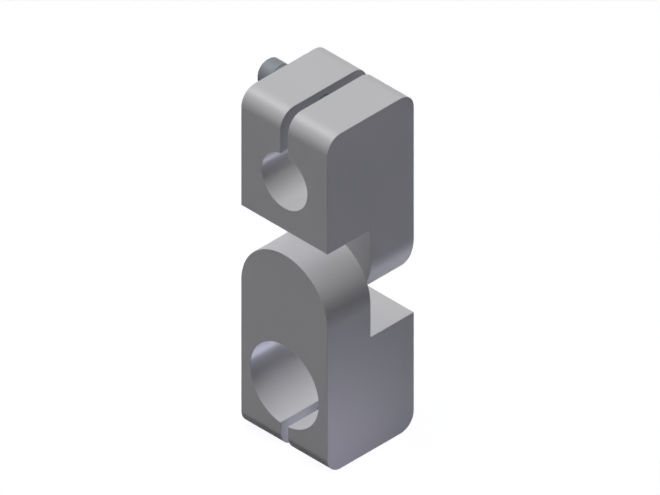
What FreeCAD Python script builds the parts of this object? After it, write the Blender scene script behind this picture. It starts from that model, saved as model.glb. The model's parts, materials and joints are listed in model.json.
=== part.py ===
"""Parallel swivel tube clamp: two slit clamp halves that turn against each other on one screw.

Millimetres, +Z up. The origin is the middle of the lower, larger tube bore, on its axis.
X runs across the clamp, from the screw heads at -X. Y runs along both tubes, to the rear.
"""
import FreeCAD
import Part
import math
import os

from FreeCAD import Placement, Rotation, Vector

# Tubes that the clamp joins
upper_tube_diameter = 20.0
lower_tube_diameter = 30.0

# Clamp halves: one blank, machined with either bore
side_wall = 4.0                 # beside the larger bore
end_wall = 10.0                 # from the larger bore to the slit end
step_wall = 3.4                 # from the larger bore to the step
body_depth = 38.0               # along the tubes
end_corner_radius = 6.0         # front and rear corners of the slit end
slit_width = 3.2
swing_clearance = 1.35          # flank of one tongue to the other half's step, at a right angle
pivot_to_tip = 10.95            # pivot axis to the round tip of each tongue
edge_break = 0.12               # deburring chamfer
sharp_edge_angle = 20.0         # degrees between two faces, from which their edge is broken

# Clamping screws, M6
clamp_thread_diameter = 6.0
clamp_head_diameter = 10.0
clamp_head_height = 6.0
clamp_head_chamfer = 0.85
clamp_key_size = 5.0            # across the flats of the socket
clamp_key_depth = 3.0
clamp_thread_engagement = 7.8
clamp_screw_to_end = 5.6        # screw axis to the slit end
clamp_hole_clearance = 0.3      # on the radius, in the plain jaw
clamp_washer_outside = 9.9
clamp_washer_thickness = 1.6

# Pivot screw, M8
pivot_thread_diameter = 8.0
pivot_head_diameter = 13.0
pivot_head_height = 8.0
pivot_head_chamfer = 0.8
pivot_key_size = 6.0
pivot_key_depth = 4.0
pivot_thread_engagement = 9.6
pivot_hole_clearance = 0.1      # on the radius, where the upper half turns on the screw
pivot_head_recess = 0.6         # head below the rear face
pivot_recess_clearance = 1.0    # on the radius, round the head
pivot_washer_outside = 12.7
pivot_washer_thickness = 2.0

# Common to all screws
thread_clearance = 0.05         # on the radius, screw to tapped hole
washer_bore_clearance = 0.06    # on the radius, screw to lock washer
screw_tip_chamfer = 0.8
tap_run_out = 3.0               # tapped hole beyond the screw's tip
drill_point_angle = 118.0
socket_point_angle = 120.0
socket_mouth_angle = 120.0      # countersink out to the corners of the hexagon
washer_gap = 0.8                # split of a lock washer
washer_gap_slant = 20.0         # degrees, split to the washer's axis

# Worked out from the above
lower_bore_radius = lower_tube_diameter / 2
upper_bore_radius = upper_tube_diameter / 2
body_width = lower_tube_diameter + 2 * side_wall
half_width = body_width / 2
half_depth = body_depth / 2
bore_to_end = lower_bore_radius + end_wall
bore_to_step = lower_bore_radius + step_wall
step_to_pivot = half_width + swing_clearance
bore_to_pivot = bore_to_step + step_to_pivot
bore_to_tip = bore_to_pivot + pivot_to_tip
bore_to_clamp_screw = bore_to_end - clamp_screw_to_end
upper_bore_height = 2 * bore_to_pivot
pivot_recess_depth = pivot_washer_thickness + pivot_head_height + pivot_head_recess
pivot_seat_y = half_depth - pivot_recess_depth
clamp_screw_length = (
    clamp_washer_thickness + half_width + slit_width / 2 + clamp_thread_engagement
)
pivot_screw_length = pivot_washer_thickness + pivot_seat_y + pivot_thread_engagement

ALONG_X = Rotation(Vector(0, 0, 1), Vector(1, 0, 0))
TOWARDS_FRONT = Rotation(Vector(0, 0, 1), Vector(0, -1, 0))
HEAD_DOWN = Rotation(Vector(1, 0, 0), 180)
PROBE_TOLERANCE = 1e-6


def revolved(points):
    """A solid of revolution about Z from (radius, height) points."""
    corners = [Vector(radius, 0, height) for radius, height in points]
    outline = Part.makePolygon(corners + corners[:1])
    return Part.Face(outline).revolve(Vector(0, 0, 0), Vector(0, 0, 1), 360)


def placed(shape, turn, x, y, z):
    """A copy of the shape, turned and then moved."""
    moved = shape.copy()
    moved.Placement = Placement(Vector(x, y, z), turn)
    return moved


def side_profile():
    """Outline seen along X: a full-depth block with a half-depth tongue behind the joint plane."""
    radius = end_corner_radius
    inset = radius * (1 - math.sqrt(0.5))
    front, rear = -half_depth, half_depth
    top, step, tip = bore_to_end, -bore_to_step, -bore_to_tip

    def at(y, z):
        return Vector(-half_width, y, z)

    edges = [
        Part.makeLine(at(0, tip), at(0, step)),
        Part.makeLine(at(0, step), at(front, step)),
        Part.makeLine(at(front, step), at(front, top - radius)),
        Part.Arc(
            at(front, top - radius), at(front + inset, top - inset), at(front + radius, top)
        ).toShape(),
        Part.makeLine(at(front + radius, top), at(rear - radius, top)),
        Part.Arc(
            at(rear - radius, top), at(rear - inset, top - inset), at(rear, top - radius)
        ).toShape(),
        Part.makeLine(at(rear, top - radius), at(rear, tip)),
        Part.makeLine(at(rear, tip), at(0, tip)),
    ]
    return Part.Face(Part.Wire(edges))


def front_profile():
    """Outline seen along Y: square at the slit end, full round at the tongue's tip."""
    round_centre = -bore_to_tip + half_width
    top = bore_to_end

    def at(x, z):
        return Vector(x, -half_depth, z)

    edges = [
        Part.makeLine(at(half_width, round_centre), at(half_width, top)),
        Part.makeLine(at(half_width, top), at(-half_width, top)),
        Part.makeLine(at(-half_width, top), at(-half_width, round_centre)),
        Part.Arc(
            at(-half_width, round_centre), at(0, -bore_to_tip), at(half_width, round_centre)
        ).toShape(),
    ]
    return Part.Face(Part.Wire(edges))


def is_convex_corner(solid, edge):
    """True where two faces meet at an outward corner that a deburring tool would touch."""
    faces = solid.ancestorsOfType(edge, Part.Face)
    if len(faces) != 2:
        return False
    middle = edge.valueAt((edge.FirstParameter + edge.LastParameter) / 2)
    normals = [face.normalAt(*face.Surface.parameter(middle)) for face in faces]
    if normals[0].getAngle(normals[1]) < math.radians(sharp_edge_angle):
        return False
    probe = (normals[0] + normals[1]).normalize() * (edge_break / 10)
    outside, inside = middle + probe, middle - probe
    return solid.isInside(inside, PROBE_TOLERANCE, True) and not solid.isInside(
        outside, PROBE_TOLERANCE, True
    )


def deburred(solid):
    """The solid with each outward corner broken by a small chamfer."""
    corners = [edge for edge in solid.Edges if is_convex_corner(solid, edge)]
    return solid.makeChamfer(edge_break, corners)


def cone_height(radius, angle):
    """Height of a cone of this radius and full angle in degrees."""
    return radius / math.tan(math.radians(angle / 2))


def blind_hole(radius, depth, point_angle):
    """A drilled hole from z = 0 down to -depth, with the drill's cone below that."""
    point = depth + cone_height(radius, point_angle)
    return revolved([(0, 0), (radius, 0), (radius, -depth), (0, -point)])


def clamp_blank(bore_radius):
    """One half without its screw holes, about its own bore: slit end up, tongue down and behind."""
    block = side_profile().extrude(Vector(body_width, 0, 0))
    rounded = front_profile().extrude(Vector(0, body_depth, 0))
    body = block.common(rounded)
    bore = Part.makeCylinder(
        bore_radius, body_depth, Vector(0, -half_depth, 0), Vector(0, 1, 0)
    )
    slit = Part.makeBox(
        slit_width, body_depth, bore_to_end, Vector(-slit_width / 2, -half_depth, 0)
    )
    return body.cut(bore.fuse(slit))


def clamp_screw_holes():
    """Plain hole through the left jaw and tapped blind hole in the right jaw, to be cut out."""
    plain_radius = clamp_thread_diameter / 2 + clamp_hole_clearance
    plain = Part.makeCylinder(
        plain_radius, half_width, Vector(-half_width, 0, bore_to_clamp_screw), Vector(1, 0, 0)
    )
    tapped = blind_hole(
        clamp_thread_diameter / 2 + thread_clearance,
        slit_width / 2 + clamp_thread_engagement + tap_run_out,
        drill_point_angle,
    )
    return plain.fuse(placed(tapped, ALONG_X.multiply(HEAD_DOWN), 0, 0, bore_to_clamp_screw))


def upper_half():
    """Upper half: small bore, and a recessed plain hole in its rear tongue for the pivot screw."""
    hole = Part.makeCylinder(
        pivot_thread_diameter / 2 + pivot_hole_clearance, half_depth,
        Vector(0, 0, -bore_to_pivot), Vector(0, 1, 0),
    )
    recess = Part.makeCylinder(
        pivot_head_diameter / 2 + pivot_recess_clearance, pivot_recess_depth,
        Vector(0, pivot_seat_y, -bore_to_pivot), Vector(0, 1, 0),
    )
    body = clamp_blank(upper_bore_radius).cut(clamp_screw_holes().fuse(hole).fuse(recess))
    return placed(deburred(body.Solids[0]), Rotation(), 0, 0, upper_bore_height)


def lower_half():
    """Lower half: large bore, turned over, with a tapped blind hole in its front tongue."""
    tapped = placed(
        blind_hole(
            pivot_thread_diameter / 2 + thread_clearance,
            pivot_thread_engagement + tap_run_out,
            drill_point_angle,
        ),
        TOWARDS_FRONT, 0, 0, -bore_to_pivot,
    )
    body = clamp_blank(lower_bore_radius).cut(clamp_screw_holes().fuse(tapped))
    return placed(deburred(body.Solids[0]), HEAD_DOWN, 0, 0, 0)


def socket_screw(diameter, length, head_diameter, head_height, head_chamfer, key_size, key_depth):
    """A socket head screw along +Z, its head below the seat plane z = 0 and its tip at z = length."""
    radius = diameter / 2
    head_radius = head_diameter / 2
    body = revolved([
        (0, -head_height),
        (head_radius - head_chamfer, -head_height),
        (head_radius, -head_height + head_chamfer),
        (head_radius, 0),
        (radius, 0),
        (radius, length - screw_tip_chamfer),
        (radius - screw_tip_chamfer, length),
        (0, length),
    ])
    corner_radius = key_size / math.sqrt(3)
    corners = [
        Vector(
            corner_radius * math.cos(math.radians(60 * side)),
            corner_radius * math.sin(math.radians(60 * side)),
            -head_height,
        )
        for side in range(6)
    ]
    socket = Part.Face(Part.makePolygon(corners + corners[:1])).extrude(Vector(0, 0, key_depth))
    drilled = blind_hole(key_size / 2, key_depth, socket_point_angle)
    mouth_depth = cone_height(corner_radius, socket_mouth_angle)
    mouth = revolved([(0, 0), (corner_radius, 0), (0, -mouth_depth)])
    from_face = placed(drilled.fuse(mouth), HEAD_DOWN, 0, 0, -head_height)
    return body.cut(socket.fuse(from_face)).Solids[0]


def lock_washer(inside_radius, outside_radius, thickness):
    """A split spring washer pressed flat, standing on z = 0."""
    ring = revolved([
        (inside_radius, 0),
        (outside_radius, 0),
        (outside_radius, thickness),
        (inside_radius, thickness),
    ])
    height = 2 * thickness
    split = Part.makeBox(
        outside_radius, washer_gap, height, Vector(0, -washer_gap / 2, -height / 2)
    )
    slanted = placed(split, Rotation(Vector(1, 0, 0), washer_gap_slant), 0, 0, thickness / 2)
    return ring.cut(slanted).Solids[0]


def clamp_screw(bore_height, side):
    """A clamping screw with its washer's thickness under the head; side is 1 above, -1 below."""
    screw = socket_screw(
        clamp_thread_diameter, clamp_screw_length, clamp_head_diameter, clamp_head_height,
        clamp_head_chamfer, clamp_key_size, clamp_key_depth,
    )
    height = bore_height + side * bore_to_clamp_screw
    return placed(screw, ALONG_X, -half_width - clamp_washer_thickness, 0, height)


def clamp_washer(bore_height, side):
    """The lock washer between a clamping screw's head and the left face."""
    washer = lock_washer(
        clamp_thread_diameter / 2 + washer_bore_clearance,
        clamp_washer_outside / 2,
        clamp_washer_thickness,
    )
    height = bore_height + side * bore_to_clamp_screw
    return placed(washer, ALONG_X, -half_width - clamp_washer_thickness, 0, height)


def pivot_screw():
    """The screw that both tongues turn on, from the rear."""
    screw = socket_screw(
        pivot_thread_diameter, pivot_screw_length, pivot_head_diameter, pivot_head_height,
        pivot_head_chamfer, pivot_key_size, pivot_key_depth,
    )
    return placed(screw, TOWARDS_FRONT, 0, pivot_seat_y + pivot_washer_thickness, bore_to_pivot)


def pivot_washer():
    """The lock washer under the pivot screw's head, in the recess."""
    washer = lock_washer(
        pivot_thread_diameter / 2 + washer_bore_clearance,
        pivot_washer_outside / 2,
        pivot_washer_thickness,
    )
    return placed(washer, TOWARDS_FRONT, 0, pivot_seat_y + pivot_washer_thickness, bore_to_pivot)


def build():
    """Each piece by its node name."""
    return {
        "upper_clamp_half": upper_half(),
        "lower_clamp_half": lower_half(),
        "upper_clamp_screw": clamp_screw(upper_bore_height, 1),
        "upper_lock_washer": clamp_washer(upper_bore_height, 1),
        "lower_clamp_screw": clamp_screw(0, -1),
        "lower_lock_washer": clamp_washer(0, -1),
        "pivot_screw": pivot_screw(),
        "pivot_lock_washer": pivot_washer(),
    }


os.makedirs("parts", exist_ok=True)
for node, shape in build().items():
    shape.exportStep(f"parts/{node}.step")
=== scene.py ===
"""Looks of a parallel tube clamp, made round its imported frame.

Metres, +Z up. X runs across the clamp with the clamping screws' heads at -X, Y runs along both
tubes to the rear, and the origin is on the axis of the lower, larger bore.
"""

import json
import logging
import math
from dataclasses import dataclass
from enum import Enum

import bpy
import numpy as np
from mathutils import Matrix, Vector


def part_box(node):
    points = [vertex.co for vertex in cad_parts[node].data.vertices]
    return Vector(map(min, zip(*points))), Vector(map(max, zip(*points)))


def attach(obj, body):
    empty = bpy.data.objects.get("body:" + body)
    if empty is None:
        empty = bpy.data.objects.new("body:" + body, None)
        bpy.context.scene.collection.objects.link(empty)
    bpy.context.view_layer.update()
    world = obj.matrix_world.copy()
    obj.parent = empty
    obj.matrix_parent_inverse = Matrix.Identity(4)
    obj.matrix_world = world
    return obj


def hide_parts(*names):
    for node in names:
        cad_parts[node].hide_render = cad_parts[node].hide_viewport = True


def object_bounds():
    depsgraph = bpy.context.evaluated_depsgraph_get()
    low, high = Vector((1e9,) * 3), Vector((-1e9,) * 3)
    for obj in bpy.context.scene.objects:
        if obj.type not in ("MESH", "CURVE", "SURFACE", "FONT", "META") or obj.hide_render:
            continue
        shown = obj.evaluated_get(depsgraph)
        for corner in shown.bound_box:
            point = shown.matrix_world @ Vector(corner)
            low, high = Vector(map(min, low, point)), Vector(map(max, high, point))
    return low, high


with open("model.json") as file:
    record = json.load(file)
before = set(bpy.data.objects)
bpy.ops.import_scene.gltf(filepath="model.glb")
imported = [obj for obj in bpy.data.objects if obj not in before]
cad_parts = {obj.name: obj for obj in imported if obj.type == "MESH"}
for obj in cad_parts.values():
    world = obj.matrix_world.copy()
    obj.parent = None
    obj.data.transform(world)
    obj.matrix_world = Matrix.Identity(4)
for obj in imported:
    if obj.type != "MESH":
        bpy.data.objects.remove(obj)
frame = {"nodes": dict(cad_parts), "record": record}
cad_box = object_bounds()

MM = 0.001
FULL_TURN = 2 * math.pi
CREST = "crest"         # point attribute: high on crests and outer edges that rub, else 0
log = logging.getLogger("tube_clamp")

Colour = tuple[float, float, float]
Point = tuple[float, float, float]

# Metric thread, as shares of the pitch
CREST_FLAT = 1 / 8
BOTH_FLANKS = 5 / 8
THREAD_DEPTH = 0.6134


class Slot(Enum):
    """Material slots of the record."""

    ALUMINIUM = "satin_aluminium"
    SCREW = "dark_screw_steel"
    SPRING = "spring_steel"


class Heading(Enum):
    """The way a turned piece's own +Z points once it is in place."""

    RIGHT = "to the right jaw"
    FRONT = "to the front tongue"

    def turned(self, points: np.ndarray) -> np.ndarray:
        """Points of a piece that stands on +Z, laid along this heading.

        Args:
            points: Array whose last axis is x, y, z.

        Returns:
            The turned points. Right is a quarter turn about Y, front one about X.
        """
        x, y, z = np.moveaxis(points, -1, 0)
        if self is Heading.RIGHT:
            return np.stack([z, y, -x], -1)
        return np.stack([x, -z, y], -1)


class Nodes:
    """A node tree with short calls for its nodes."""

    def __init__(self, tree: bpy.types.NodeTree) -> None:
        """Empties the tree and keeps it."""
        self.tree = tree
        tree.nodes.clear()

    def add(self, kind: str, inputs: dict | None = None, **settings) -> bpy.types.Node:
        """A new node with its settings and inputs.

        Args:
            kind: Blender's type name of the node.
            inputs: Value or output socket for each input, by name or number.
            settings: Properties of the node itself.

        Returns:
            The node.
        """
        node = self.tree.nodes.new(kind)
        for name, value in settings.items():
            setattr(node, name, value)
        for name, value in (inputs or {}).items():
            if isinstance(value, bpy.types.NodeSocket):
                self.tree.links.new(value, node.inputs[name])
            else:
                node.inputs[name].default_value = value
        return node

    def math(self, operation: str, *values: float | bpy.types.NodeSocket) -> bpy.types.NodeSocket:
        """Result of a Math node.

        Args:
            operation: Its operation.
            values: Its inputs in order.

        Returns:
            The output socket.
        """
        return self.add("ShaderNodeMath", dict(enumerate(values)), operation=operation).outputs[0]

    def noise(self, place: bpy.types.NodeSocket, grain: float, detail: float) -> bpy.types.NodeSocket:
        """Noise from 0 to 1 whose patches are about as large as grain.

        Args:
            place: Coordinates in metres.
            grain: Size of a patch in metres.
            detail: Octaves of finer noise.

        Returns:
            The output socket.
        """
        inputs = {"Vector": place, "Scale": 1 / grain, "Detail": detail, "Roughness": 0.55}
        return self.add("ShaderNodeTexNoise", inputs).outputs["Fac"]

    def spread(self, value: bpy.types.NodeSocket, low: float, high: float) -> bpy.types.NodeSocket:
        """A value from 0 to 1, stretched to run from low to high.

        Args:
            value: The output socket to stretch.
            low: Result at 0.
            high: Result at 1.

        Returns:
            The output socket.
        """
        inputs = {"Value": value, "To Min": low, "To Max": high}
        return self.add("ShaderNodeMapRange", inputs).outputs[0]

    def blended(
        self, share: bpy.types.NodeSocket, first: Colour, second: Colour
    ) -> bpy.types.NodeSocket:
        """A colour between two.

        Args:
            share: 0 for the first colour and 1 for the second.
            first: Linear colour.
            second: Linear colour.

        Returns:
            The output socket.
        """
        inputs = {0: share, 6: (*first, 1), 7: (*second, 1)}
        return self.add("ShaderNodeMix", inputs, data_type="RGBA").outputs[2]

    def bump(
        self, height: bpy.types.NodeSocket, depth: float, under: bpy.types.NodeSocket | None = None
    ) -> bpy.types.NodeSocket:
        """A bumped normal.

        Args:
            height: Relief from 0 to 1.
            depth: Height of the relief in metres.
            under: Normal of a coarser relief below it.

        Returns:
            The normal's socket.
        """
        inputs = {"Height": height, "Distance": depth, "Strength": 1.0}
        if under is not None:
            inputs["Normal"] = under
        return self.add("ShaderNodeBump", inputs).outputs[0]

    def close(self, shader: bpy.types.NodeSocket) -> None:
        """Links a shader to the tree's output."""
        self.add("ShaderNodeOutputMaterial", {"Surface": shader})


def new_material(name: str) -> tuple[bpy.types.Material, Nodes]:
    """An empty material and its node tree.

    Args:
        name: Name of the material.

    Returns:
        The material and its nodes.
    """
    material = bpy.data.materials.new(name)
    material.use_nodes = True
    return material, Nodes(material.node_tree)


@dataclass(frozen=True)
class SatinAluminium:
    """Bead-blasted, clear anodised aluminium, with turned bores and sawn slits."""

    bores: tuple[tuple[float, float], ...]      # axis height and radius
    slit_half_width: float
    tone: Colour = (0.51, 0.51, 0.52)
    shade: Colour = (0.49, 0.49, 0.5)
    metallic: float = 0.1
    sheen: float = 0.35
    roughness: tuple[float, float] = (0.46, 0.56)   # where the cloud is 0 and 1
    bore_polish: float = 0.1                    # less rough in the turned bores, by this much
    cloud_size: float = 14 * MM
    cloud_share: float = 0.7                    # in the colour; the rest is the blasted grain
    blast_size: float = 0.12 * MM
    blast_depth: float = 0.004 * MM
    turning_feed: float = 0.22 * MM
    turning_depth: float = 0.003 * MM
    sawing_depth: float = 0.006 * MM
    streak_width: float = 0.12 * MM
    streak_stretch: float = 50.0                # a sawn streak's length over its width
    skin: float = 0.05 * MM                     # how near a surface is to its bore or slit

    def near(self, nodes: Nodes, distance: bpy.types.NodeSocket, size: float) -> bpy.types.NodeSocket:
        """1 where a distance is a size to within the skin, and else 0.

        Args:
            nodes: The material's nodes.
            distance: The distance's socket.
            size: The size in metres.

        Returns:
            The output socket.
        """
        return nodes.math("COMPARE", distance, size, self.skin)

    def in_bore(self, nodes: Nodes, place: bpy.types.NodeSocket) -> bpy.types.NodeSocket:
        """1 on the bores' walls and else 0.

        Args:
            nodes: The material's nodes.
            place: Object coordinates.

        Returns:
            The output socket. A wall is where the distance to a bore's axis is its radius.
        """
        x, _, z = nodes.add("ShaderNodeSeparateXYZ", {0: place}).outputs
        in_bore = None
        for height, radius in self.bores:
            rise = nodes.math("SUBTRACT", z, height)
            squares = nodes.math("ADD", nodes.math("POWER", x, 2.0), nodes.math("POWER", rise, 2.0))
            here = self.near(nodes, nodes.math("SQRT", squares), radius)
            in_bore = here if in_bore is None else nodes.math("MAXIMUM", in_bore, here)
        return in_bore

    def marks(
        self, nodes: Nodes, place: bpy.types.NodeSocket, in_bore: bpy.types.NodeSocket
    ) -> bpy.types.NodeSocket:
        """Relief that the tools left: rings in the bores and streaks in the slits.

        Args:
            nodes: The material's nodes.
            place: Object coordinates.
            in_bore: 1 on the bores' walls.

        Returns:
            Relief from 0 to 1. In a bore it is a sine of the way along Y over the feed.
            On a slit's wall it is noise stretched along Y.
        """
        x, y, _ = nodes.add("ShaderNodeSeparateXYZ", {0: place}).outputs
        rings = nodes.math("SINE", nodes.math("MULTIPLY", y, FULL_TURN / self.turning_feed))
        turned = nodes.math("MULTIPLY", nodes.spread(rings, 0.0, self.turning_depth), in_bore)
        squeeze = {"Vector": place, "Scale": (1.0, 1 / self.streak_stretch, 1.0)}
        squeezed = nodes.add("ShaderNodeMapping", squeeze).outputs[0]
        streaks = nodes.noise(squeezed, self.streak_width, 2.0)
        on_slit = self.near(nodes, nodes.math("ABSOLUTE", x), self.slit_half_width)
        sawn = nodes.math("MULTIPLY", nodes.spread(streaks, 0.0, self.sawing_depth), on_slit)
        deepest = max(self.turning_depth, self.sawing_depth)
        return nodes.math("DIVIDE", nodes.math("ADD", turned, sawn), deepest)

    def material(self) -> bpy.types.Material:
        """The finish as a material.

        Returns:
            The material. Its colour drifts with a coarse cloud and a fine grain.
        """
        material, nodes = new_material("satin_aluminium_finish")
        place = nodes.add("ShaderNodeTexCoord").outputs["Object"]
        cloud = nodes.noise(place, self.cloud_size, 3.0)
        grain = nodes.noise(place, self.blast_size, 2.0)
        in_bore = self.in_bore(nodes, place)
        deepest = max(self.turning_depth, self.sawing_depth)
        tooled = nodes.bump(self.marks(nodes, place, in_bore), deepest)
        blasted = nodes.spread(cloud, *self.roughness)
        smoother = nodes.math("MULTIPLY", in_bore, self.bore_polish)
        coarse = nodes.math("MULTIPLY", cloud, self.cloud_share)
        fine = nodes.math("MULTIPLY", grain, 1 - self.cloud_share)
        shader = nodes.add("ShaderNodeBsdfPrincipled", {
            "Base Color": nodes.blended(nodes.math("ADD", coarse, fine), self.shade, self.tone),
            "Metallic": self.metallic,
            "Specular IOR Level": self.sheen,
            "Roughness": nodes.math("SUBTRACT", blasted, smoother),
            "Normal": nodes.bump(grain, self.blast_depth, tooled),
        })
        nodes.close(shader.outputs[0])
        return material


@dataclass(frozen=True)
class DarkScrewSteel:
    """Blued steel of the screws, rubbed lighter on the crests of knurl and thread."""

    tone: Colour = (0.22, 0.245, 0.265)
    shade: Colour = (0.185, 0.205, 0.225)
    rubbed: Colour = (0.28, 0.3, 0.32)
    metallic: float = 0.15
    sheen: float = 0.3
    roughness: tuple[float, float] = (0.52, 0.62)   # where the grain is 0 and 1
    rub_share: tuple[float, float] = (0.1, 0.9)     # of a crest, where the cloud is 0 and 1
    polish: float = 0.12                # less rough on a rubbed crest, by this much
    cloud_size: float = 2.5 * MM
    grain_size: float = 0.1 * MM
    grain_depth: float = 0.003 * MM

    def material(self) -> bpy.types.Material:
        """The finish as a material.

        Returns:
            The material. Where the crest attribute is high, the blueing is rubbed away in patches.
        """
        material, nodes = new_material("dark_screw_steel_finish")
        place = nodes.add("ShaderNodeTexCoord").outputs["Object"]
        cloud = nodes.noise(place, self.cloud_size, 4.0)
        grain = nodes.noise(place, self.grain_size, 2.0)
        crest = nodes.add("ShaderNodeAttribute", attribute_name=CREST).outputs["Fac"]
        rub = nodes.math("MULTIPLY", crest, nodes.spread(cloud, *self.rub_share))
        blued = nodes.blended(cloud, self.shade, self.tone)
        mix = nodes.add("ShaderNodeMix", {0: rub, 6: blued, 7: (*self.rubbed, 1)}, data_type="RGBA")
        rough = nodes.spread(grain, *self.roughness)
        smoother = nodes.math("MULTIPLY", rub, self.polish)
        shader = nodes.add("ShaderNodeBsdfPrincipled", {
            "Base Color": mix.outputs[2],
            "Metallic": self.metallic,
            "Specular IOR Level": self.sheen,
            "Roughness": nodes.math("SUBTRACT", rough, smoother),
            "Normal": nodes.bump(grain, self.grain_depth),
        })
        nodes.close(shader.outputs[0])
        return material


@dataclass(frozen=True)
class SpringSteel:
    """Dark hardened spring steel of the lock washers, rubbed lighter on their outer edges."""

    tone: Colour = (0.15, 0.158, 0.17)
    shade: Colour = (0.11, 0.116, 0.127)
    rubbed: Colour = (0.24, 0.25, 0.265)
    metallic: float = 0.25
    roughness: tuple[float, float] = (0.43, 0.56)   # where the cloud is 0 and 1
    rub_share: tuple[float, float] = (0.2, 0.8)     # of an edge, where the grain is 0 and 1
    cloud_size: float = 1.8 * MM
    grain_size: float = 0.08 * MM
    grain_depth: float = 0.003 * MM

    def material(self) -> bpy.types.Material:
        """The finish as a material.

        Returns:
            The material. Where the crest attribute is high, the edge is rubbed lighter.
        """
        material, nodes = new_material("spring_steel_finish")
        place = nodes.add("ShaderNodeTexCoord").outputs["Object"]
        cloud = nodes.noise(place, self.cloud_size, 3.0)
        grain = nodes.noise(place, self.grain_size, 2.0)
        crest = nodes.add("ShaderNodeAttribute", attribute_name=CREST).outputs["Fac"]
        rub = nodes.math("MULTIPLY", crest, nodes.spread(grain, *self.rub_share))
        dark = nodes.blended(cloud, self.shade, self.tone)
        mix = nodes.add("ShaderNodeMix", {0: rub, 6: dark, 7: (*self.rubbed, 1)}, data_type="RGBA")
        shader = nodes.add("ShaderNodeBsdfPrincipled", {
            "Base Color": mix.outputs[2],
            "Metallic": self.metallic,
            "Roughness": nodes.spread(cloud, *self.roughness),
            "Normal": nodes.bump(grain, self.grain_depth),
        })
        nodes.close(shader.outputs[0])
        return material


def ring(radius: np.ndarray | float, height: np.ndarray | float, angle: np.ndarray) -> np.ndarray:
    """Points round +Z, from polar to Cartesian: radius times cosine and sine of the angle.

    Args:
        radius: Distance from the axis, for every angle or one for all.
        height: Height on the axis, likewise.
        angle: Angles round the axis.

    Returns:
        Array of shape (..., angles, 3).
    """
    radius, height, angle = np.broadcast_arrays(radius, height, angle)
    return np.stack([radius * np.cos(angle), radius * np.sin(angle), height], -1)


def smooth_step(value: np.ndarray) -> np.ndarray:
    """0 below 0 and 1 above 1, with level ends: three squares less two cubes."""
    clipped = np.clip(value, 0.0, 1.0)
    return clipped * clipped * (3 - 2 * clipped)


def rounded_path(corners: np.ndarray, radii: np.ndarray, steps: int = 5) -> np.ndarray:
    """A path through corners, with each inner corner replaced by an arc.

    The arc starts and ends at radius over the tangent of half the inner angle from the
    corner. Its points are the quadratic blend of start, corner and end. At a right angle
    that lies outside the arc by up to 0.06 of the radius, and by less at a blunter corner.

    Args:
        corners: Corner points, one row each.
        radii: Fillet radius at each inner corner.
        steps: Points on each arc.

    Returns:
        Points of the path, one row each.
    """
    before, here, after = corners[:-2], corners[1:-1], corners[2:]
    back = (before - here) / np.linalg.norm(before - here, axis=1, keepdims=True)
    ahead = (after - here) / np.linalg.norm(after - here, axis=1, keepdims=True)
    half = np.arccos(np.clip((back * ahead).sum(1), -1, 1)) / 2
    reach = (radii / np.tan(half))[:, None]
    start, end = here + back * reach, here + ahead * reach
    share = np.linspace(0, 1, steps)[None, :, None]
    arcs = (
        (1 - share) ** 2 * start[:, None]
        + 2 * share * (1 - share) * here[:, None]
        + share**2 * end[:, None]
    )
    return np.vstack([corners[:1], arcs.reshape(-1, corners.shape[1]), corners[-1:]])


def spaced(path: np.ndarray, step: float) -> np.ndarray:
    """The path with points added so that none of its runs is longer than step.

    Args:
        path: Points of the path, one row each.
        step: Longest run allowed.

    Returns:
        Points of the path, its own among them.
    """
    runs = np.linalg.norm(np.diff(path, axis=0), axis=1)
    along = np.concatenate([[0], np.cumsum(runs)])
    counts = np.maximum(np.ceil(runs / step).astype(int), 1)
    first = np.repeat(along[:-1], counts)
    width = np.repeat(runs / counts, counts)
    number = np.concatenate([np.arange(count) for count in counts])
    places = np.append(first + width * number, along[-1])
    return np.stack([np.interp(places, along, column) for column in path.T], -1)


class RingSkin:
    """A closed skin over bands of rings that run round one axis."""

    def __init__(self) -> None:
        """Starts with no band."""
        self.points: list[np.ndarray] = []
        self.crests: list[np.ndarray] = []
        self.faces: list[np.ndarray] = []
        self.count = 0
        self.last: tuple[int, int] | None = None

    def joined(self, first: int, columns: int, second: int, fewer: int) -> np.ndarray:
        """Faces between a ring and one with a whole fraction of its columns.

        Args:
            first: Number of the wider ring's first point.
            columns: Points in it.
            second: Number of the other ring's first point.
            fewer: Points in that one.

        Returns:
            One face for each point of the second ring.
        """
        share = columns // fewer
        place = np.arange(fewer)[:, None]
        outer = first + (share * place + np.arange(share + 1)) % columns
        inner = second + (place + np.array([1, 0])) % fewer
        return np.hstack([outer, inner])

    def add(self, band: np.ndarray, crest: np.ndarray | float = 0.0) -> None:
        """Adds rings and joins the first of them to the last one that was there.

        Args:
            band: Points of shape (rings, columns, 3), columns counterclockwise seen from +Z.
            crest: Value of the crest attribute, for every point or one for all.
        """
        rows, columns = band.shape[:2]
        if self.last is None:
            self.points.append(band[0].mean(0, keepdims=True))
            self.crests.append(np.zeros(1))
            self.count = 1
            here = 1 + np.arange(columns)
            self.faces.append(np.stack([np.zeros(columns, int), np.roll(here, -1), here], -1))
        else:
            self.faces.append(self.joined(*self.last, self.count, columns))
        ring_start = self.count + columns * np.arange(rows - 1)[:, None]
        here = np.arange(columns)
        there = (here + 1) % columns
        quads = [ring_start + here, ring_start + there]
        quads += [ring_start + columns + there, ring_start + columns + here]
        self.faces.append(np.stack(quads, -1).reshape(-1, 4))
        self.points.append(band.reshape(-1, 3))
        self.crests.append(np.broadcast_to(crest, (rows, columns)).ravel())
        self.last = (self.count + columns * (rows - 1), columns)
        self.count += rows * columns

    def close(self, pole: np.ndarray) -> None:
        """Ends the skin in one point.

        Args:
            pole: The point, on the axis.
        """
        start, columns = self.last
        here = start + np.arange(columns)
        there = start + (np.arange(columns) + 1) % columns
        self.faces.append(np.stack([here, there, np.full(columns, self.count)], -1))
        self.points.append(pole[None])
        self.crests.append(np.zeros(1))
        self.count += 1


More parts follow.
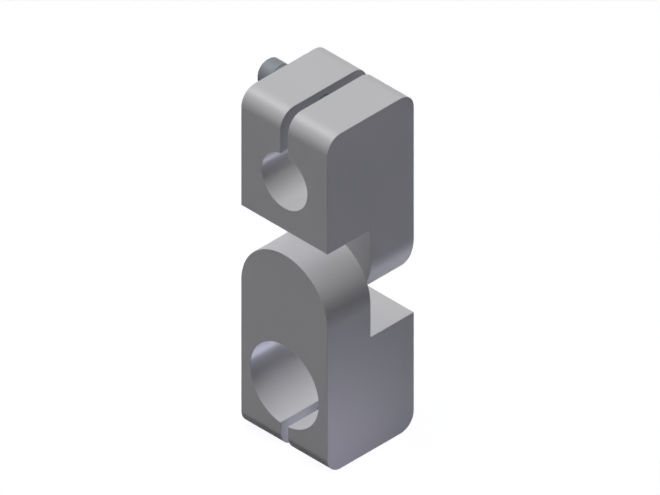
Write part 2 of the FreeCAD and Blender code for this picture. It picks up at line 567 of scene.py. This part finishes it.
def new_piece(
    name: str, points: np.ndarray, faces: list[np.ndarray], crest: np.ndarray, sharp: float = 32.0
) -> bpy.types.Object:
    """A mesh object in place, smooth but for its sharp edges.

    Args:
        name: Name of the piece.
        points: Its points, one row each, in the frame.
        faces: Arrays of faces, each of one number of corners.
        crest: Value of the crest attribute at each point.
        sharp: Degrees between two faces from which their edge stays sharp.

    Returns:
        The object, at the origin and unturned.
    """
    mesh = bpy.data.meshes.new(name)
    mesh.from_pydata(points.tolist(), [], [face for rows in faces for face in rows.tolist()])
    mesh.attributes.new(CREST, "FLOAT", "POINT").data.foreach_set("value", crest.astype(np.float32))
    mesh.shade_smooth()
    mesh.set_sharp_from_angle(angle=math.radians(sharp))
    mesh.validate()
    piece = bpy.data.objects.new(name, mesh)
    bpy.context.scene.collection.objects.link(piece)
    return piece


def dress(piece: bpy.types.Object, material: bpy.types.Material) -> None:
    """Gives a piece its material.

    Args:
        piece: A new piece or a node of the frame.
        material: The finish.
    """
    piece.data.materials.clear()
    piece.data.materials.append(material)


@dataclass(frozen=True)
class ScrewForm:
    """What a screw's standard fixes beyond the sizes that the frame holds."""

    thread_diameter: float
    pitch: float
    plain_shank: float
    key_size: float
    key_depth: float
    head_chamfer: float
    ridges: int = 54                    # of the knurl, round the head


CLAMP_SCREW = ScrewForm(6 * MM, 1 * MM, 6 * MM, 5 * MM, 3 * MM, 0.85 * MM)
PIVOT_SCREW = ScrewForm(8 * MM, 1.25 * MM, 2.5 * MM, 6 * MM, 4 * MM, 0.8 * MM)


@dataclass(frozen=True)
class SocketScrew:
    """A socket head cap screw: knurled head, hexagon socket, shank and rolled thread.

    Its own axis is +Z with the seat under the head at height 0, the head below and the tip
    above. Its outside sizes are the frame's.
    """

    node: str
    washer: str
    body: str
    heading: Heading
    form: ScrewForm
    knurl_points: int = 4               # round the head, on each ridge
    shank_share: int = 3                # points round the head for each one round the shank
    thread_rows: int = 16               # along each turn of the thread
    knurl_depth: float = 0.06 * MM
    knurl_fade: float = 0.35 * MM
    edge_radius: float = 0.18 * MM
    seat_fillet: float = 0.16 * MM
    drill_share: float = 0.45           # drill's radius in the socket, of the key's size
    point_angle: float = 60.0           # drill point and socket mouth, side to axis, in degrees
    mouth_margin: float = 0.12 * MM     # mouth beyond the hexagon's corners
    tip_chamfer: float = 0.8 * MM
    row_step: float = 0.3 * MM
    run_in: float = 1.5                 # turns in which the thread reaches its depth
    crest_rub: float = 0.8              # value of the crest attribute on the thread's crests
    point_shares: tuple[float, ...] = (0.35, 0.7, 1.0)  # rings of the drill point, to its rim
    floor_shares: tuple[float, ...] = (0.0, 0.7)    # rings of the fillet at the socket's floor
    wall_shares: tuple[float, ...] = (0.0, 0.5, 1.0)    # rings of the hexagon, up to the mouth
    wall_foot: float = 1.6              # hexagon's lowest ring, in floor fillets above the floor
    tip_shares: tuple[float, ...] = (0.9, 0.5)      # rings on the flat of the tip

    def sizes(self) -> tuple[float, float, float, Vector]:
        """The outside sizes, read from the frame's boxes of the screw and its washer.

        Returns:
            Head radius, head height, length under the head, and the middle of the seat.
        """
        low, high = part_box(self.node)
        washer_low, washer_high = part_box(self.washer)
        middle = (low + high) / 2
        if self.heading is Heading.RIGHT:
            seat = washer_low.x
            at = Vector((seat, middle.y, middle.z))
            return (high.z - low.z) / 2, seat - low.x, high.x - seat, at
        seat = washer_high.y
        at = Vector((middle.x, seat, middle.z))
        return (high.x - low.x) / 2, high.y - seat, seat - low.y, at

    def hexagon(self, angle: np.ndarray) -> np.ndarray:
        """Distance to the socket's sides: half the key's size over the cosine off a side's middle."""
        sixth = math.pi / 3
        return self.form.key_size / 2 / np.cos(angle % sixth - sixth / 2)

    def socket(self, head_height: float, angle: np.ndarray) -> tuple[list[np.ndarray], float]:
        """Rings of the socket from its drilled floor up to its mouth.

        The wall is the hexagon. It ends where the mouth's cone meets it, deeper at the middle
        of each side than at the corners.

        Args:
            head_height: Height of the head.
            angle: Angles round the head.

        Returns:
            The rings and the mouth's radius.
        """
        top = -head_height
        floor = top + self.form.key_depth
        slope = math.tan(math.radians(self.point_angle))
        drill = self.form.key_size * self.drill_share
        wall = self.hexagon(angle)
        mouth = self.form.key_size / math.sqrt(3) + self.mouth_margin
        point = floor + drill / slope
        fillet = self.edge_radius
        rings = [
            ring(drill * share, point - (point - floor) * share, angle)
            for share in self.point_shares
        ]
        rings += [
            ring(wall - fillet * (1 - share), floor - fillet * share, angle)
            for share in self.floor_shares
        ]
        rim = top + (mouth - wall) / slope
        deep = floor - fillet * self.wall_foot
        rings += [ring(wall, deep + (rim - deep) * share, angle) for share in self.wall_shares]
        rings.append(ring(mouth, top, angle))
        return rings, mouth

    def head(self, skin: RingSkin, radius: float, height: float, angle: np.ndarray) -> None:
        """Adds the head, from the bottom of the socket to the seat.

        The outside is a rounded path of radius and height. Its knurl takes away its depth times
        half of one plus the cosine of ridges times the angle, and fades out at both ends.

        Args:
            skin: Skin to add to.
            radius: Radius of the head.
            height: Height of the head.
            angle: Angles round the head.
        """
        rings, mouth = self.socket(height, angle)
        skin.add(np.stack(rings))
        chamfer = self.form.head_chamfer
        inner = self.form.thread_diameter / 2 + 2 * self.seat_fillet
        corners = np.array([
            (mouth + self.edge_radius / 2, -height),
            (radius - chamfer, -height),
            (radius, -height + chamfer),
            (radius, 0.0),
            (inner, 0.0),
        ])
        path = spaced(rounded_path(corners, np.full(3, self.edge_radius)), self.row_step)
        out, up = path[:, :1], path[:, 1:]
        fade = smooth_step((up + height - chamfer) / self.knurl_fade)
        fade = fade * smooth_step((-self.edge_radius - up) / self.knurl_fade) * (out > radius - 1e-9)
        ridge = (1 - np.cos(self.form.ridges * angle)) / 2
        skin.add(ring(out - self.knurl_depth * fade * (1 - ridge), up, angle), fade * ridge)

    def thread(
        self, angle: np.ndarray, height: np.ndarray, length: float
    ) -> tuple[np.ndarray, np.ndarray]:
        """Radius and crest of the threaded shank, for each height and angle.

        Height over the pitch, less the turn, is the place in the profile. The profile is flat
        for an eighth of the pitch at the crest and a quarter at the root, straight between
        them, and 0.6134 of the pitch deep, as an external metric thread is. It starts after
        the plain shank and ends in the tip's chamfer.

        Args:
            angle: Angles round the shank.
            height: Heights, as a column.
            length: Length under the head.

        Returns:
            Radii and crest values of shape (heights, angles).
        """
        radius, pitch = self.form.thread_diameter / 2, self.form.pitch
        place = (height / pitch - angle / FULL_TURN) % 1
        from_crest = 1 - np.abs(2 * place - 1)
        groove = np.clip((from_crest - CREST_FLAT) / BOTH_FLANKS, 0, 1)
        started = smooth_step((height - self.form.plain_shank) / (self.run_in * pitch))
        threaded = radius - THREAD_DEPTH * pitch * groove * started
        cone = radius - self.tip_chamfer + (length - height)
        return np.minimum(threaded, cone), (1 - groove) * started * self.crest_rub

    def shank(self, skin: RingSkin, length: float, angle: np.ndarray) -> None:
        """Adds the shank from the fillet under the head to the tip.

        Args:
            skin: Skin to add to.
            length: Length under the head.
            angle: Angles round the shank.
        """
        radius, fillet = self.form.thread_diameter / 2, self.seat_fillet
        turn = np.linspace(0, math.pi / 2, 5)[:, None]
        skin.add(ring(radius + fillet * (1 - np.sin(turn)), fillet * (1 - np.cos(turn)), angle))
        rows = int(round((length - self.form.plain_shank) / self.form.pitch * self.thread_rows))
        plain = np.linspace(fillet, self.form.plain_shank, 5)[1:-1]
        height = np.append(plain, np.linspace(self.form.plain_shank, length, rows))[:, None]
        threaded, crest = self.thread(angle, height, length)
        skin.add(ring(threaded, height, angle), crest)
        flat = np.array(self.tip_shares)[:, None] * (radius - self.tip_chamfer)
        skin.add(ring(flat, np.full_like(flat, length), angle))
        skin.close(np.array([0.0, 0.0, length]))

    def build(self) -> bpy.types.Object:
        """The screw as one closed piece, in place, on its body and for its node.

        Returns:
            The piece.
        """
        radius, head_height, length, seat = self.sizes()
        round_head = self.form.ridges * self.knurl_points
        head_angle = FULL_TURN * np.arange(round_head) / round_head
        skin = RingSkin()
        self.head(skin, radius, head_height, head_angle)
        self.shank(skin, length, head_angle[:: self.shank_share])
        points = self.heading.turned(np.vstack(skin.points)) + np.array(seat)
        piece = new_piece(f"{self.node}_detailed", points, skin.faces, np.concatenate(skin.crests))
        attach(piece, self.body)
        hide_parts(self.node)
        return piece


@dataclass(frozen=True)
class LockWasher:
    """A split spring washer, pressed flat: a rounded section carried round the screw.

    Its own axis is +Z from the head's side at height 0. The split is at +X and slants.
    """

    node: str
    body: str
    heading: Heading
    hole_radius: float
    split: float = 0.8 * MM
    slant: float = 20.0                 # degrees between the split and the axis
    corner_radius: float = 0.2 * MM
    sections: int = 120
    section_step: float = 0.2 * MM
    edge_rub: float = 0.6               # value of the crest attribute on the outer edges

    def sizes(self) -> tuple[float, float, Vector]:
        """The outside sizes, read from the frame's box of the washer.

        Returns:
            Outside radius, thickness, and the middle of the side under the head.
        """
        low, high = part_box(self.node)
        middle = (low + high) / 2
        if self.heading is Heading.RIGHT:
            return (high.y - low.y) / 2, high.x - low.x, Vector((low.x, middle.y, middle.z))
        return (high.x - low.x) / 2, high.y - low.y, Vector((middle.x, high.y, middle.z))

    def section(self, radius: float, thickness: float) -> np.ndarray:
        """Outline of the wire's section: a rectangle with each corner made an arc.

        Args:
            radius: Outside radius.
            thickness: Thickness.

        Returns:
            Rows of radius and height, once round from the middle of the side under the head.
        """
        inner, outer = self.hole_radius, radius
        middle = (inner + outer) / 2
        corners = np.array([
            (middle, 0.0),
            (outer, 0.0),
            (outer, thickness),
            (inner, thickness),
            (inner, 0.0),
            (middle, 0.0),
        ])
        path = spaced(rounded_path(corners, np.full(4, self.corner_radius)), self.section_step)
        return path[:-1]

    def build(self) -> bpy.types.Object:
        """The washer as one closed piece, in place, on its body and for its node.

        A point of the section goes from the split's one face to the other: its angle runs
        evenly between the arcsines of the faces' offsets over its radius.

        Returns:
            The piece.
        """
        radius, thickness, at = self.sizes()
        outline = self.section(radius, thickness)
        out, up = outline.T
        lean = math.radians(self.slant)
        middle = -(up - thickness / 2) * math.tan(lean)
        half = self.split / 2 / math.cos(lean)
        start = np.arcsin((middle + half) / out)
        end = FULL_TURN + np.arcsin((middle - half) / out)
        share = np.linspace(0, 1, self.sections)[:, None]
        points = ring(out, up, start + (end - start) * share)
        rows, columns = points.shape[:2]
        first = columns * np.arange(rows - 1)[:, None]
        here = np.arange(columns)
        there = (here + 1) % columns
        second = first + columns
        walls = np.stack([first + here, second + here, second + there, first + there], -1)
        caps = np.stack([here, columns * (rows - 1) + here[::-1]])
        at_edge = np.abs(2 * up / thickness - 1) * (out > radius - 2 * self.corner_radius)
        crest = np.broadcast_to(smooth_step(at_edge * 2 - 1) * self.edge_rub, (rows, columns))
        placed = self.heading.turned(points.reshape(-1, 3)) + np.array(at)
        piece = new_piece(
            f"{self.node}_detailed", placed, [walls.reshape(-1, 4), caps], crest.ravel()
        )
        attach(piece, self.body)
        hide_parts(self.node)
        return piece


@dataclass(frozen=True)
class ClampHalves:
    """The two aluminium halves, which are the frame's own nodes."""

    nodes: tuple[str, str] = ("upper_clamp_half", "lower_clamp_half")
    slit_width: float = 3.2 * MM

    def bores(self) -> tuple[tuple[float, float], ...]:
        """The tubes' bores, from the record's mounts.

        Returns:
            Axis height and radius of each.
        """
        mounts = [mount for mount in frame["record"]["mounts"] if mount["kind"] == "clamp"]
        return tuple((mount["pos_m"][2], mount["dims"]["r_mm"] * MM) for mount in mounts)

    def dress(self) -> list[bpy.types.Object]:
        """Gives both halves their finish.

        Returns:
            The halves.
        """
        finish = SatinAluminium(self.bores(), self.slit_width / 2).material()
        halves = [frame["nodes"][node] for node in self.nodes]
        for half in halves:
            dress(half, finish)
        return halves


@dataclass(frozen=True)
class Hardware:
    """The three screws with their lock washers."""

    washer_play: float = 0.06 * MM

    def screws(self) -> list[SocketScrew]:
        """The screws, with the washer under each head and the body that each rides.

        Returns:
            The screws, not built yet.
        """
        right, front = Heading.RIGHT, Heading.FRONT
        return [
            SocketScrew("upper_clamp_screw", "upper_lock_washer", "upper_screw", right, CLAMP_SCREW),
            SocketScrew("lower_clamp_screw", "lower_lock_washer", "lower_screw", right, CLAMP_SCREW),
            SocketScrew("pivot_screw", "pivot_lock_washer", "pivot", front, PIVOT_SCREW),
        ]

    def washers(self) -> list[LockWasher]:
        """The lock washers, with the body that each rides.

        Returns:
            The washers, not built yet.
        """
        clamp_hole = CLAMP_SCREW.thread_diameter / 2 + self.washer_play
        pivot_hole = PIVOT_SCREW.thread_diameter / 2 + self.washer_play
        right, front = Heading.RIGHT, Heading.FRONT
        return [
            LockWasher("upper_lock_washer", "upper_screw_washer", right, clamp_hole),
            LockWasher("lower_lock_washer", "lower_screw_washer", right, clamp_hole),
            LockWasher("pivot_lock_washer", "pivot_washer", front, pivot_hole),
        ]

    def build(self) -> list[bpy.types.Object]:
        """Builds all screws and washers, in their finishes.

        Returns:
            The pieces.
        """
        blued, spring = DarkScrewSteel().material(), SpringSteel().material()
        pieces = []
        for screw in self.screws():
            pieces.append(screw.build())
            dress(pieces[-1], blued)
        for washer in self.washers():
            pieces.append(washer.build())
            dress(pieces[-1], spring)
        return pieces


@dataclass(frozen=True)
class IsometricCamera:
    """A parallel view from the front right, as far down as to the right."""

    target: Point = (0.54 * MM, 0.54 * MM, 42.94 * MM)
    towards_viewer: Point = (1.0, -1.0, 1.0)
    frame_width: float = 204.94 * MM
    distance: float = 0.8
    reach: float = 20.0                 # how far it sees

    def build(self) -> bpy.types.Object:
        """Makes the scene's camera.

        Returns:
            The camera.
        """
        back = Vector(self.towards_viewer).normalized()
        data = bpy.data.cameras.new("camera")
        data.type = "ORTHO"
        data.ortho_scale = self.frame_width
        data.clip_end = self.reach
        camera = bpy.data.objects.new("camera", data)
        camera.location = Vector(self.target) + back * self.distance
        camera.rotation_euler = (-back).to_track_quat("-Z", "Y").to_euler()
        bpy.context.scene.collection.objects.link(camera)
        bpy.context.scene.camera = camera
        return camera


class Shadow(Enum):
    """Whether a lamp throws shadows."""

    SOFT = True
    NONE = False


@dataclass(frozen=True)
class Lamp:
    """A lamp of any form."""

    name: str
    towards: Point                      # from the object to the lamp
    strength: float
    colour: Colour
    shadow: Shadow = Shadow.NONE
    spread: float = 50.0                # of a sun, in degrees across as the object sees it

    def light(self) -> bpy.types.Light:
        """A sun as wide as its spread.

        Returns:
            The light.
        """
        light = bpy.data.lights.new(self.name, "SUN")
        light.angle = math.radians(self.spread)
        return light

    def place(self) -> Vector:
        """Where the lamp stands."""
        return Vector(self.towards).normalized()

    def build(self) -> bpy.types.Object:
        """Places the lamp, out of the camera's sight.

        Returns:
            The lamp.
        """
        light = self.light()
        light.energy = self.strength
        light.color = self.colour
        light.use_shadow = self.shadow.value
        lamp = bpy.data.objects.new(self.name, light)
        lamp.location = self.place()
        lamp.rotation_euler = Vector(self.towards).to_track_quat("Z", "Y").to_euler()
        lamp.visible_camera = False
        bpy.context.scene.collection.objects.link(lamp)
        return lamp


@dataclass(frozen=True)
class SpotLamp(Lamp):
    """A spot whose beam fades evenly from its middle to its rim."""

    aim: Point = (0.0, 0.0, 0.0)
    distance: float = 0.25
    beam_radius: float = 80 * MM        # where it is aimed
    bulb_radius: float = 20 * MM

    def light(self) -> bpy.types.Light:
        """A spot with a soft rim.

        Returns:
            The light.
        """
        light = bpy.data.lights.new(self.name, "SPOT")
        light.spot_size = 2 * math.atan2(self.beam_radius, self.distance)
        light.spot_blend = 1.0
        light.shadow_soft_size = self.bulb_radius
        return light

    def place(self) -> Vector:
        """Where the lamp stands."""
        return Vector(self.aim) + Vector(self.towards).normalized() * self.distance


WHITE = (1.0, 1.0, 1.0)
BLACK = (0.0, 0.0, 0.0)
LAVENDER = (0.79, 0.79, 1.0)
VIOLET = (0.69, 0.715, 1.0)
COOL = (0.83, 0.8, 1.0)
KEY_SIDE = (-0.27, -0.22, 0.94)
LAMPS = (
    Lamp("key_lamp", KEY_SIDE, 2.2, WHITE, spread=10.0),
    Lamp("soft_lamp", KEY_SIDE, 0.15, WHITE, Shadow.SOFT, 50.0),
    Lamp("rear_lamp", (-0.2, 0.3, 0.93), 0.36, WHITE, spread=10.0),
    Lamp("under_lamp", (0.3, 0.5, -0.8), 0.48, LAVENDER, spread=10.0),
    SpotLamp(
        "low_side_lamp", (1.0, 0.1, 0.1), 0.86, COOL, Shadow.SOFT,
        aim=(19 * MM, -37 * MM, -40 * MM), beam_radius=74 * MM,
    ),
    SpotLamp(
        "low_bore_lamp", (0.11, 0.42, -0.9), 1.15, VIOLET,
        aim=(0.0, -15 * MM, 0.0), beam_radius=26 * MM,
    ),
    SpotLamp(
        "low_slit_lamp", (1.0, 0.0, 0.0), 0.0048, COOL,
        aim=(-1.6 * MM, -11 * MM, -21 * MM), distance=19.5 * MM, beam_radius=13 * MM,
        bulb_radius=1 * MM,
    ),
)


@dataclass(frozen=True)
class Studio:
    """Pale floor, soft surroundings and lamps."""

    lamps: tuple[Lamp, ...] = LAMPS
    surroundings: Colour = (0.036, 0.037, 0.051)
    floor_colour: Colour = (0.9, 0.9, 0.9)
    floor_bounce: Colour = (0.02, 0.02, 0.03)
    floor_lift: float = 0.24            # of white, added where the floor is seen
    floor_size: float = 6.0
    contact_reach: float = 25 * MM      # how far the painted contact shadow darkens the floor round the object
    contact_seen: float = 0.08          # share of that darkening in the camera's own view

    def seen(self, nodes: Nodes) -> bpy.types.NodeSocket:
        """The rays that show a background: camera, glossy and transmission rays.

        Args:
            nodes: The material's or the world's nodes.

        Returns:
            1 on such a ray and else 0.
        """
        path = nodes.add("ShaderNodeLightPath").outputs
        shown = nodes.math("MAXIMUM", path["Is Camera Ray"], path["Is Glossy Ray"])
        return nodes.math("MAXIMUM", shown, path["Is Transmission Ray"])

    def open_sky(self, nodes: Nodes) -> bpy.types.NodeSocket:
        """How open the floor is to the sky, for the object's painted contact shadow.

        Args:
            nodes: The floor's nodes.

        Returns:
            1 on open floor, and less beside the object, but little less in the camera's view.
        """
        clear = nodes.add("ShaderNodeAmbientOcclusion", {"Distance": self.contact_reach}).outputs["AO"]
        camera = nodes.add("ShaderNodeLightPath").outputs["Is Camera Ray"]
        depth = nodes.spread(camera, 1.0, self.contact_seen)
        closed = nodes.math("MULTIPLY", nodes.math("SUBTRACT", 1.0, clear), depth)
        return nodes.math("SUBTRACT", 1.0, closed)

    def floor(self) -> bpy.types.Object:
        """Makes the floor under the object, white where it is seen, with the object's shadow: cast by
        two lamps, and painted from ambient occlusion beside it.

        Returns:
            The floor.
        """
        half, height = self.floor_size / 2, cad_box[0].z
        corners = np.array([(-1, -1), (1, -1), (1, 1), (-1, 1)]) * half
        points = np.column_stack([corners, np.full(4, height)])
        mesh = bpy.data.meshes.new("floor")
        mesh.from_pydata(points.tolist(), [], [[0, 1, 2, 3]])
        floor = bpy.data.objects.new("floor", mesh)
        bpy.context.scene.collection.objects.link(floor)
        material, nodes = new_material("pale_floor")
        seen, open_sky = self.seen(nodes), self.open_sky(nodes)
        colour = nodes.blended(seen, self.floor_bounce, self.floor_colour)
        # painted contact shadow: ambient occlusion darkens the floor's colour and glow beside the
        # object, fully for bounced and reflected rays and slightly in the camera's view
        shadow = nodes.blended(open_sky, BLACK, WHITE)
        inputs = {0: 1.0, 6: colour, 7: shadow}
        shaded = nodes.add("ShaderNodeMix", inputs, data_type="RGBA", blend_type="MULTIPLY")
        diffuse = nodes.add("ShaderNodeBsdfDiffuse", {"Color": shaded.outputs[2]}).outputs[0]
        lift = nodes.math("MULTIPLY", nodes.math("MULTIPLY", seen, self.floor_lift), open_sky)
        glow = nodes.add("ShaderNodeEmission", {"Strength": lift}).outputs[0]
        nodes.close(nodes.add("ShaderNodeAddShader", {0: diffuse, 1: glow}).outputs[0])
        mesh.materials.append(material)
        return floor

    def world(self) -> None:
        """Even surroundings, white where they are seen."""
        world = bpy.data.worlds.new("studio")
        bpy.context.scene.world = world
        world.use_nodes = True
        nodes = Nodes(world.node_tree)
        colour = nodes.blended(self.seen(nodes), self.surroundings, WHITE)
        background = nodes.add("ShaderNodeBackground", {"Color": colour}).outputs[0]
        nodes.add("ShaderNodeOutputWorld", {"Surface": background})

    def build(self) -> None:
        """All of the studio."""
        self.world()
        self.floor()
        for lamp in self.lamps:
            lamp.build()
        bpy.context.scene.view_settings.view_transform = "Standard"


def main() -> None:
    """Builds the camera, the studio and each piece, and reports them."""
    logging.basicConfig(level=logging.INFO, format="%(message)s")
    IsometricCamera().build()
    Studio().build()
    for piece in ClampHalves().dress() + Hardware().build():
        log.info("%s: %d faces", piece.name, len(piece.data.polygons))


if __name__ == "__main__":
    main()
